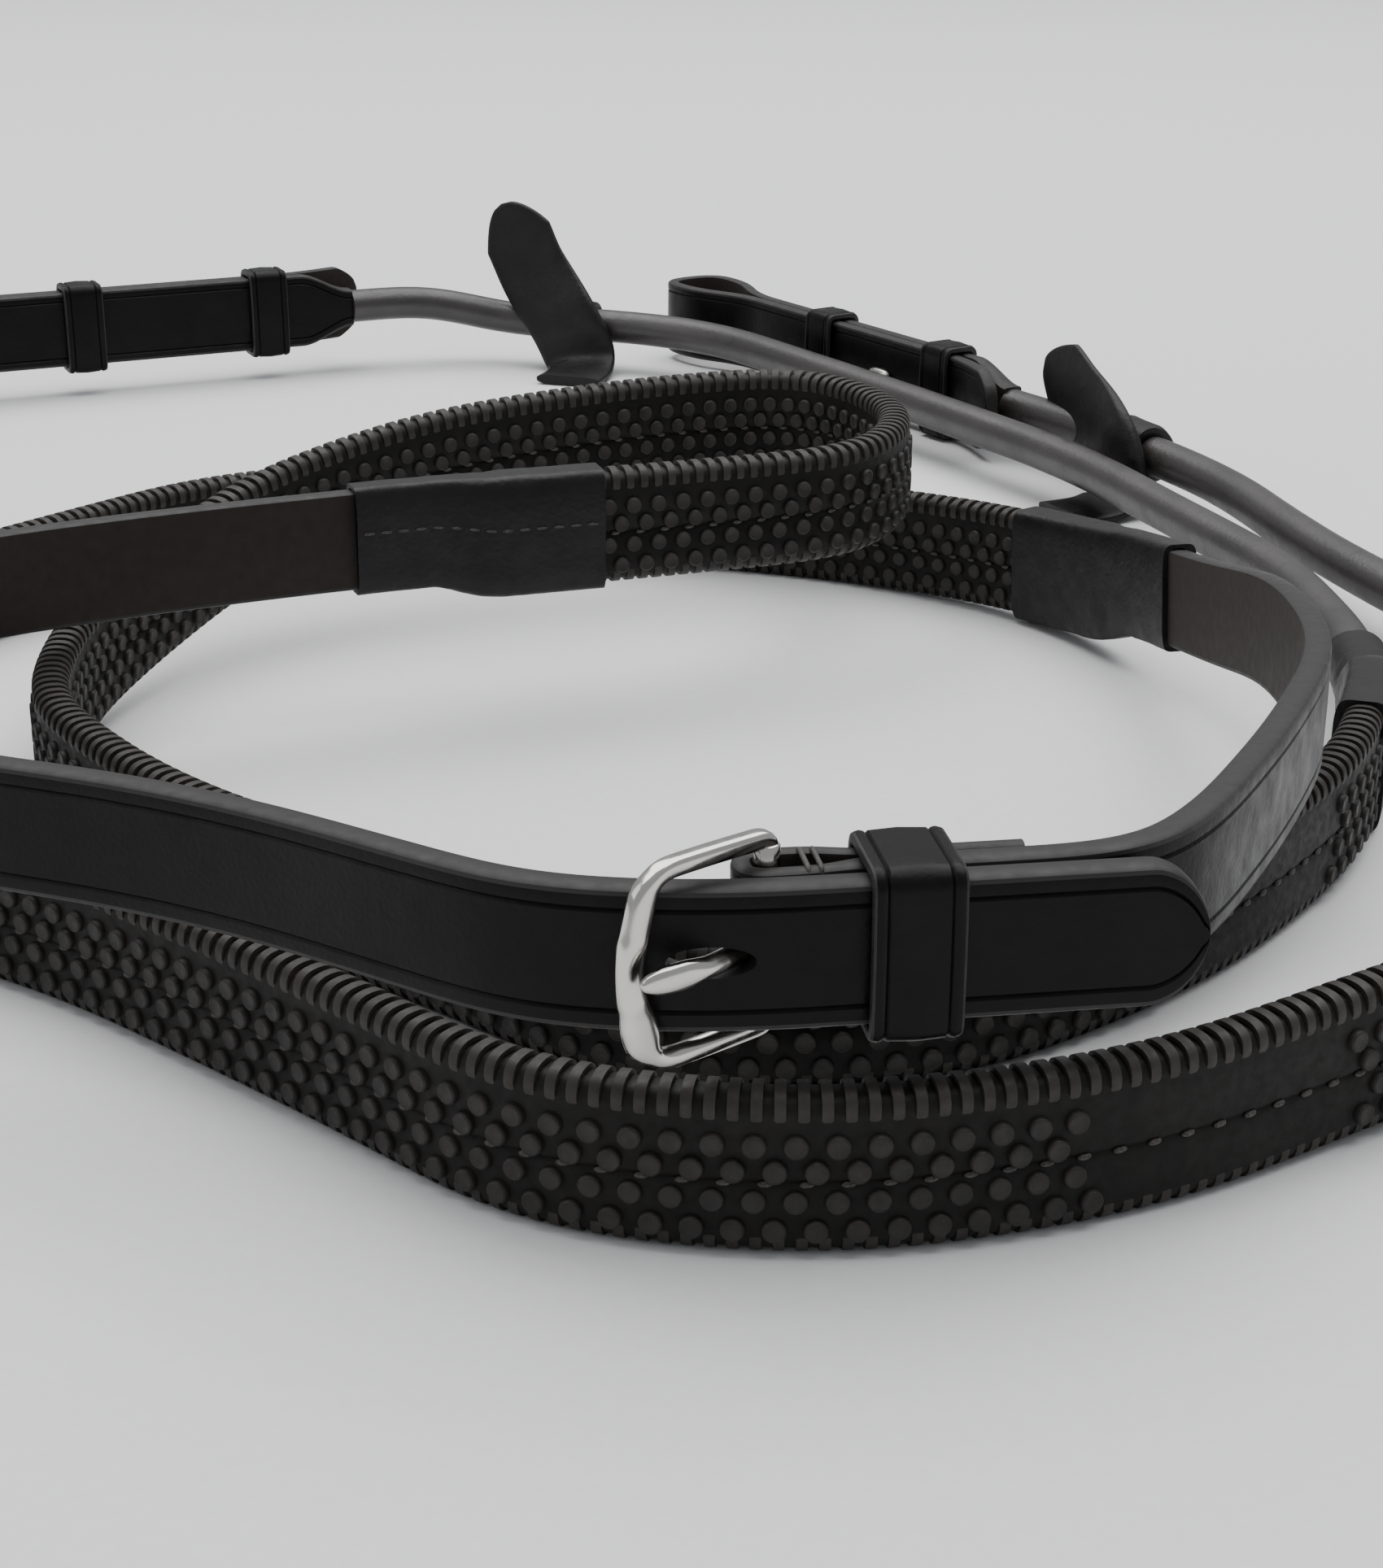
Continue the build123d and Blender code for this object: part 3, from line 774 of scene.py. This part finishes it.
# ---- bit end ------------------------------------------------------------------------------------
class Local:
    """Upright local frame: u along a strap, v to its left, w up."""

    def __init__(self, origin, towards):
        self.origin = np.array(origin, float)
        self.u = unit(np.array([towards[0], towards[1], 0.0]))
        self.v = np.cross(UP, self.u)

    def point(self, u, v, w=0.0):
        return (self.origin + np.multiply.outer(u, self.u) + np.multiply.outer(v, self.v)
                + np.multiply.outer(w, UP))

    def points(self, table):
        return np.array([self.point(*row) for row in table])

    def ring(self, radius, height, count):
        turn = full_turn(count)
        return self.point(radius * np.cos(turn), radius * np.sin(turn), height + 0 * turn)


def bit_corners(fold_side):
    middle = LAYER_STEP / 2
    r = BIT_FOLD_R
    neck = BIT_LENGTH - r - 14.0
    line = [(-NARROW, 0), (0, 0), (neck, 0), (BIT_LENGTH - r * 0.8, middle - r),
            (BIT_LENGTH + r, middle - r), (BIT_LENGTH + r, middle + r),
            (BIT_LENGTH - r * 0.8, middle + r), (neck, LAYER_STEP), (1, LAYER_STEP),
            (-18, LAYER_STEP + 6.0)]
    return [(u, fold_side * v) for u, v in line]


def make_bit_strap(side, local, fold_side):
    corners = local.points(bit_corners(fold_side))
    path = smoothed(rounded_path(corners, 0.8, 9.0), 2)
    run = arc_length(path)
    left_over = run[-1] - run
    flare = smooth_step(run / NARROW)
    width = NECK_W + (STRAP_W - NECK_W) * flare
    width = np.minimum(width, 8.0 + 11.0 * np.sqrt(np.clip(left_over / 6.0, 0, 1)))
    thick = NECK_T + (BIT_T - NECK_T) * smooth_step(run / (NARROW + 4))
    make_strap(side, "bit_strap", path, width, thick, -fold_side, BIT_CREASE)


def keeper_section(width):
    """Cross-section of a keeper's leather: (across, outward, material)."""
    half, thick = width / 2, KEEPER_T - 0.35
    outer = [(-half + 0.35, thick - 0.05), (-half + 0.9, thick + 0.1), (-half + 1.35, thick),
             (-half + 1.65, thick - 0.26), (-half + 1.95, thick + 0.02), (0, thick + 0.2)]
    outer += [(-x, y) for x, y in reversed(outer[:-1])]
    edge = [(half - 0.08, thick - 0.2), (half, thick - 0.45), (half, 0.3), (half - 0.2, 0.05)]
    other = [(-x, y) for x, y in reversed(edge)]
    numbers = [FACE] * (len(outer) - 1) + [CUT] * 4 + [BACK] + [CUT] * 4
    return np.array(outer + edge + other), numbers


def loop_stations(size_v, size_w, radius, step=0.5):
    """Points and outward directions round a rounded rectangle."""
    half_v, half_w = size_v / 2 - radius, size_w / 2 - radius
    points, ways = [], []
    centres = [(half_v, half_w, 0), (-half_v, half_w, 90), (-half_v, -half_w, 180),
               (half_v, -half_w, 270)]
    for k, (cv, cw, first) in enumerate(centres):
        for angle in np.radians(np.linspace(first, first + 90, 8)):
            way = (math.cos(angle), math.sin(angle))
            points.append((cv + radius * way[0], cw + radius * way[1]))
            ways.append(way)
        after = centres[(k + 1) % 4]
        way = (round(math.cos(math.radians(first + 90))), round(math.sin(math.radians(first + 90))))
        start = np.array(points[-1])
        end = np.array([after[0] + radius * way[0], after[1] + radius * way[1]])
        pieces = max(1, int(np.linalg.norm(end - start) / step / 2))
        for share in np.arange(1, pieces) / pieces:
            points.append(tuple(start + (end - start) * share))
            ways.append(way)
    return np.array(points), np.array(ways, float)


def make_keeper(name, node, body, local, u, v, size_v, width, size_w=STRAP_W + 2 * FIT):
    section, numbers = keeper_section(width)
    points, ways = loop_stations(size_v, size_w, 0.9)
    across = section[None, :, 0]
    outward = section[None, :, 1]
    share = np.clip(points[:, 1:] / size_w, -0.5, 0.5)
    bulge = 0.22 * np.abs(ways[:, :1]) * np.cos(share * math.pi)
    pv = points[:, :1] + ways[:, :1] * (outward + bulge)
    pw = points[:, 1:] + ways[:, 1:] * outward
    rows = local.point(u + across + 0 * pv, v + pv, pw)
    run = np.arange(len(points))[:, None] * 0.5 + 0 * pv
    mesh = Mesh()
    mesh.grid(rows[::-1], numbers, np.stack([run, across + 0 * pv, pv], axis=-1), loop=True)
    piece(name, mesh, LEATHERS, body, [node])


def make_stud(side, local, fold_side):
    """Hook stud: an oval, domed head over the back layer."""
    base = LAYER_STEP + BIT_T / 2
    mesh = Mesh()
    half_l, half_h = 4.1, 1.6
    levels = [(0.55, -0.05), (0.86, 0.08), (1.0, 0.45), (0.97, 0.95), (0.8, 1.4), (0.45, 1.7)]
    turn = full_turn(24)
    rows = []
    for share, height in levels:
        u = half_l * share * signed_power(np.cos(turn), 0.8)
        w = half_h * share * signed_power(np.sin(turn), 0.8)
        rows.append(local.point(STUD_U + u, fold_side * (base + height) + 0 * u, w))
    rows = np.array(rows)
    mesh.grid(rows[:, ::fold_side])
    rein_piece(side, "hook_stud", mesh, [STUD_STEEL])


def make_bit_end(side, spec, route):
    ahead = unit(route[-1] - route[-2])
    local = Local(route[-1] + ahead * NARROW, ahead)
    fold_side = spec["fold_side"]
    make_bit_strap(side, local, fold_side)
    make_stud(side, local, fold_side)
    size_v = LAYER_STEP + BIT_T + 2 * FIT
    middle = fold_side * LAYER_STEP / 2
    running = side + "_running_keeper"
    make_keeper(f"rein_{side}_fixed_keeper", side + "_fixed_keeper", "straps", local,
                FIXED_KEEPER_U, middle, size_v, KEEPER_W)
    make_keeper(f"rein_{side}_running_keeper", running, running, local,
                RUNNING_KEEPER_U, middle, size_v, KEEPER_W)


# ---- rein stop ----------------------------------------------------------------------------------
def make_rein_stop(side, spec, route):
    """Leather strip threaded on the rolled leather: foot, collar and a leaning pointed tab."""
    run, shift, lean = spec["stop"]
    local = Local(run_middle(route, run, shift), route[run + 1] - route[run])
    lean = math.radians(lean)
    mesh = Mesh()
    add_stop_strip(mesh, local, lean)
    add_stop_collar(mesh, local)
    rein_piece(side, "stop", mesh, [SOFT], 60, "rein_stop", side + "_rein_stop")


def add_stop_strip(mesh, local, lean):
    """The strip from its foot on the surface, up over the rolled leather, to its point."""
    sin, cos = math.sin(lean), math.cos(lean)
    table = [(-8, 24, -10.2), (-7.5, 13, -10.2), (-6, 7.6, -8.4), (-3, 6.6, -3.5), (0, 6.9, 2),
             (2 + 6 * sin, 5.0, 2 + 6 * cos), (4 + 15 * sin, 2.0, 2 + 14 * cos),
             (4 + 24 * sin, 0.6, 2 + 23 * cos), (4 + 34.5 * sin, 0.0, 2 + 33 * cos)]
    path = smoothed(resampled(local.points(table), 0.6), 5)
    run = arc_length(path)
    to_point = run[-1] - run
    half = 8.5 + 1.5 * smooth_step((run - 12) / 10)
    half = half * np.clip(to_point / 10.0, 0, 1) ** 0.5 + 0.25
    thick = 2.6 + 2.2 * np.exp(-((run - 24) / 9) ** 2)
    thick = np.minimum(thick, 1.2 + 3.4 * np.sqrt(np.clip(to_point / 5, 0, 1)))
    along = unit(np.gradient(path, axis=0))
    tilt = smooth_step((run - 14) / 14)[:, None]
    across = unit(local.u[None] * (1 - tilt) + tilt * (local.u * cos - UP * sin))
    across = unit(across - along * np.sum(across * along, axis=1)[:, None])
    outward = np.cross(along, across)
    unit_side, unit_high = superellipse(32, 3.4)
    wide = unit_high * half[:, None]
    deep = unit_side * thick[:, None] / 2 + 0.25 * waves(run[:, None] * 0.25, unit_high * 3, 21)
    rows = path[:, None] + wide[..., None] * across[:, None] + deep[..., None] * outward[:, None]
    mesh.grid(rows[:, ::-1], lay=np.stack([run[:, None] + 0 * wide, wide, deep], axis=-1))


def add_stop_collar(mesh, local):
    """Soft loop behind the strip that grips the rolled leather."""
    turn = full_turn(36)
    half = [(-6.6, 0.3), (-7, 1.0), (-6.7, 1.8), (-4, 2.3)]
    section = half + [(0, 2.5)] + [(-u, out) for u, out in reversed(half)]
    rows = []
    for u, out in section:
        radius = ROLLED_R + out + 0.25 * np.sin(turn * 2 + u)
        rows.append(local.point(u + 0 * turn, radius * np.cos(turn), radius * np.sin(turn)))
    bore = ROLLED_R + 0.1
    inner = [local.point(u + 0 * turn, bore * np.cos(turn), bore * np.sin(turn))
             for u, _ in section[::-1]]
    mesh.grid(np.array(rows + inner)[:, ::-1], loop=True)


# ---- buckle -------------------------------------------------------------------------------------
def slanted(local):
    """Frame whose u points from the buckle's outer bar to its bar."""
    turned = Local(local.point(0, BAR_BACK), local.u)
    turned.u = local.u * math.cos(FRAME_SLANT) + local.v * math.sin(FRAME_SLANT)
    turned.v = np.cross(UP, turned.u)
    return turned


def frame_outline():
    """Centre line of the buckle's frame as (u, w, 0), from one end of the bar to the other."""
    top = FRAME_HALF + 1.45
    upper = [(0.1, top - 2.2, 0), (0.1, top, 0), (-8, top + 0.1, 0), (-FRAME_REACH + 0.5, top, 0),
             (-FRAME_REACH - 2.0, 1.6, 0)]
    lower = [(u, -w, 0) for u, w, _ in reversed(upper)]
    line = np.array(upper + lower)
    return smoothed(rounded_path(line, 0.35, 3.4), 2)


def make_buckle_frame(local):
    line = frame_outline()
    along = unit(np.gradient(line, axis=0))
    out = np.stack([-along[:, 1], along[:, 0], 0 * along[:, 0]], axis=1)
    out = out * np.sign(np.sum(out * (line - [-8.5, 0, 0]), axis=1))[:, None]
    on_bar = smooth_step((-line[:, 0] - FRAME_REACH + 1.4) / 1.8)
    low = smooth_step((-line[:, 1] - 3.5) / 3)
    width = 2.4 + on_bar * (1.1 + 1.0 * low * smooth_step((line[:, 1] + 11) / 3))
    recess = on_bar * np.exp(-(line[:, 1] / 2.3) ** 2)
    shoulder = on_bar * np.exp(-((np.abs(line[:, 1]) - 3.3) / 1.0) ** 2)
    width = width - 0.15 * recess + 0.15 * shoulder
    depth = 2.4 - 0.4 * recess + 0.15 * shoulder
    unit_side, unit_high = superellipse(28, 3.0)
    reach = unit_side * width[:, None] / 2
    deep = unit_high * depth[:, None] / 2
    deep = deep - 0.28 * np.clip(-unit_side, 0, 1) * np.sign(unit_high) * (depth[:, None] / 2.4)
    spot = line[:, None, :] + out[:, None, :] * reach[..., None]
    rows = local.point(spot[..., 0], deep, spot[..., 1])
    mesh = Mesh()
    mesh.grid(rows)
    add_bar(mesh, local)
    piece("buckle_frame_polished", mesh, [STEEL], "buckle_frame",
          ["buckle_frame"], 60)


def add_bar(mesh, local):
    heights = np.concatenate([[-1], np.linspace(-0.98, 0.98, 9), [1]]) * (FRAME_HALF + 0.8)
    radii = np.concatenate([[BAR_R - 0.2], np.full(9, BAR_R), [BAR_R - 0.2]])
    rows = [local.ring(radius, height, 24) for radius, height in zip(radii, heights)]
    mesh.grid(np.array(rows))


def make_tongue(local):
    """Tongue: eye round the bar, round shank through the billet, leaf-shaped flattened tip."""
    table = np.array([(-1.6, -1.4, 0), (-4.5, -2.1, 0), (-8.0, -2.9, 0), (-11.0, -3.5, 0.1),
                      (-14.5, -3.6, 0.15), (-17.5, -3.1, 0.1), (-19.6, -2.6, 0)])
    path = smoothed(resampled(table, 0.25), 5)
    run = arc_length(path)
    share = run / run[-1]
    leaf = smooth_step((share - 0.52) / 0.2)
    tip = np.sqrt(1 - np.clip((share - 0.78) / 0.22, 0, 1) ** 2)
    half_high = (1.2 + 0.35 * leaf) * tip + 0.05
    half_deep = (1.2 - 0.25 * leaf) * (0.3 + 0.7 * tip)
    along = unit(np.gradient(path, axis=0))
    out = np.stack([-along[:, 1], along[:, 0], 0 * share], axis=1)
    unit_side, unit_high = superellipse(24, 2.0 + 0.5 * leaf)
    reach = unit_side * half_deep[:, None]
    spot = path[:, None, :] + out[:, None, :] * reach[..., None]
    rows = local.point(spot[..., 0], spot[..., 1], spot[..., 2] + unit_high * half_high[:, None])
    mesh = Mesh()
    mesh.grid(rows)
    add_eye(mesh, local)
    piece("buckle_tongue_polished", mesh, [STEEL], "buckle_tongue",
          ["buckle_tongue"], 60)


def add_eye(mesh, local):
    """Ring of the tongue that turns on the bar."""
    section = [(1.65, -1.4), (1.9, -1.7), (2.6, -1.75), (3.0, -1.3), (3.1, 0), (3.0, 1.3),
               (2.6, 1.75), (1.9, 1.7), (1.65, 1.4)]
    rows = [local.ring(radius, height, 32) for radius, height in section]
    mesh.grid(np.array(rows), loop=True)


# ---- hand straps --------------------------------------------------------------------------------
def cut_out(thing, cutter):
    """Boolean cut, applied to the mesh."""
    bpy.context.view_layer.update()
    cut = thing.modifiers.new("cut", "BOOLEAN")
    cut.object = cutter
    cut.operation = "DIFFERENCE"
    cut.solver = "EXACT"
    graph = bpy.context.evaluated_depsgraph_get()
    result = bpy.data.meshes.new_from_object(thing.evaluated_get(graph))
    thing.modifiers.clear()
    thing.data = result
    bpy.data.objects.remove(cutter)


def oval_cutter(local, u, v, half_u, half_w, reach):
    """Oval punch through a strap, its axis level."""
    turn = full_turn(32)
    rows = [local.point(u + half_u * np.cos(turn), v + off + 0 * turn, half_w * np.sin(turn))
            for off in (-reach, reach)]
    mesh = Mesh()
    mesh.grid(np.array(rows)[:, ::-1], [CUT] * 32)
    data = mesh_data("punch", mesh, LEATHERS)
    data.validate()
    return linked("punch", data)


def billet_width(run):
    """Width of rein A's strap from its rounded point on."""
    return HAND_W * np.sqrt(1 - (1 - np.clip(run / 8.0, 0, 1)) ** 2.2) + 0.3


def make_hand_strap_a(path, marks, buckle):
    part = path[3:marks["hand_joint"] + 1] + HAND_RISE * UP
    tip = part[0] + (part[12] - part[0]) * (1 - np.cos(np.linspace(0, math.pi / 2, 26)))[:, None]
    part = np.vstack([tip, part[13:]])
    run = arc_length(part)
    width = np.minimum(billet_width(run), HAND_W)
    strap = make_strap("a", "hand_strap", part, width, STRAP_T, 1, HAND_CREASE)
    cut_out(strap, oval_cutter(buckle, -7.2, -BILLET_FRONT, 4.9, 1.85, 5.0))


def make_hand_strap_b(path, marks, buckle):
    """Hand strap of rein B, from its turned-back raw end, round the bar and along the rein."""
    fold_r = BAR_R + 0.25 + CHAPE_T / 2
    front, back = BAR_BACK - fold_r, BAR_BACK + fold_r
    fold = [(CHAPE_LENGTH, CHAPE_BACK), (10, CHAPE_BACK), (5, back), (-fold_r, back),
            (-fold_r, front), (5, front), (11, 0), (20, 0)]
    folded = rounded_path(buckle.points(fold), 0.45, 6.0)
    rest = path[nearest(path, buckle.point(21.0, 0.0)):marks["hand_joint"] + 1] + HAND_RISE * UP
    part = np.vstack([smoothed(folded, 1), rest])
    run = arc_length(part)
    turned = arc_length(folded)[-1]
    thick = CHAPE_T + (STRAP_T - CHAPE_T) * smooth_step((run - turned + 15) / 10)
    strap = make_strap("b", "hand_strap", part, HAND_W, thick, -1, HAND_CREASE)
    cut_out(strap, oval_cutter(buckle, -1.5, BAR_BACK, 5.2, 2.3, 6.0))


def make_chape_stitches(buckle):
    """Rows of stitches on the turned end and a binding of thread beside the bar."""
    mesh = Mesh()
    face = CHAPE_BACK + CHAPE_T / 2 + 0.1
    at = 11.5 + 2.6 * np.arange(7)
    for row in (-1, 1):
        centres = buckle.point(at, face + 0 * at, row * (HAND_W / 2 - 1.9) + 0 * at)
        axes = np.broadcast_to(np.array([buckle.u, UP, buckle.v]), (len(at), 3, 3))
        mesh.copies(bead(2.1, 0.3), centres, axes, 0)
    for u, slope in ((3.6, 0.05), (4.5, -0.06), (5.2, 0.03)):
        add_binding(mesh, buckle, u, slope)
    piece("chape_thread", mesh, [THREAD], "straps", ["chape_stitches"], 60)


def add_binding(mesh, buckle, u, slope):
    """One turn of thread round both layers of the chape."""
    points, ways = loop_stations(6.3, HAND_W + 0.2, 0.8, 1.0)
    turn = full_turn(8)
    thread_r = 0.32
    v = points[:, :1] + 1.3 + ways[:, :1] * thread_r * np.cos(turn)
    w = points[:, 1:] + ways[:, 1:] * thread_r * np.cos(turn)
    along = u + slope * points[:, 1:] + thread_r * np.sin(turn)
    mesh.grid(buckle.point(along + 0 * v, v, w), loop=True)


# ---- everything ---------------------------------------------------------------------------------
def build():
    lines = {side: rein_line(spec) for side, spec in REINS.items()}
    route_b = lines["b"][0]
    buckle = Local(route_b[0] + HAND_RISE * UP, route_b[1] - route_b[0])
    metal = slanted(buckle)
    for side, spec in REINS.items():
        route, path, marks = lines[side]
        hand_seed, bit_seed = spec["seeds"]
        make_rubber(side, path, marks, spec["plain"])
        make_hand_sleeve(side, path, marks, -1, hand_seed)
        make_bit_sleeve(side, path, marks, bit_seed)
        make_rolled(side, path, marks)
        make_bit_end(side, spec, route)
        make_rein_stop(side, spec, route)
    make_hand_strap_a(lines["a"][1], lines["a"][2], buckle)
    make_hand_strap_b(lines["b"][1], lines["b"][2], buckle)
    make_chape_stitches(buckle)
    make_buckle_frame(metal)
    make_tongue(metal)
    front, back = -BILLET_FRONT - STRAP_T / 2, CHAPE_BACK + CHAPE_T / 2
    make_keeper("centre_keeper_band", "centre_keeper", "centre_keeper", buckle, CENTRE_KEEPER_U,
                (front + back) / 2, back - front + 2 * FIT, CENTRE_KEEPER_W, HAND_W + 2 * FIT)
    for node in ("a_core_strap", "b_core_strap"):
        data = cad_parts[node].data
        data.materials.clear()
        data.materials.append(CORE)


# ---- stage, light and camera --------------------------------------------------------------------
def make_floor():
    data = bpy.data.meshes.new("floor")
    half = 4.0
    corners = [(-half, -half, 0), (half, -half, 0), (half, half, 0), (-half, half, 0)]
    data.from_pydata(corners, [], [(0, 1, 2, 3)])
    data.materials.append(floor_look())
    floor = linked("floor", data)


def add_light(name, place, target, size, power):
    data = bpy.data.lights.new(name, "AREA")
    data.shape = "RECTANGLE"
    data.size, data.size_y = size
    data.energy = power
    light = linked(name, data)
    light.location = place
    light.rotation_euler = (Vector(target) - Vector(place)).to_track_quat("-Z", "Y").to_euler()


def make_lights():
    add_light("top_softbox", (0.1, 0.55, 1.9), (0, 0, 0), (3.0, 2.4), 78)
    add_light("left_softbox", (-1.5, -0.3, 1.0), (0, -0.1, 0), (1.2, 1.0), 4)
    world = bpy.data.worlds.new("studio")
    world.use_nodes = True
    sky = world.node_tree.nodes["Background"].inputs
    sky["Color"].default_value = (0.9, 0.92, 0.95, 1)
    sky["Strength"].default_value = 0.48
    bpy.context.scene.world = world


def make_camera():
    """Camera at the height, tilt and distance from which the coil is seen."""
    data = bpy.data.cameras.new("camera")
    data.lens = CAMERA_LENS
    data.sensor_width = 36.0
    data.clip_start = 0.02
    camera = linked("camera", data)
    camera.location = Vector((-CENTRE[0], -CAMERA_BACK - CENTRE[1], CAMERA_UP)) * MM
    camera.rotation_euler = (math.radians(90 - CAMERA_TILT), 0, 0)
    bpy.context.scene.camera = camera


build()
make_floor()
make_lights()
make_camera()
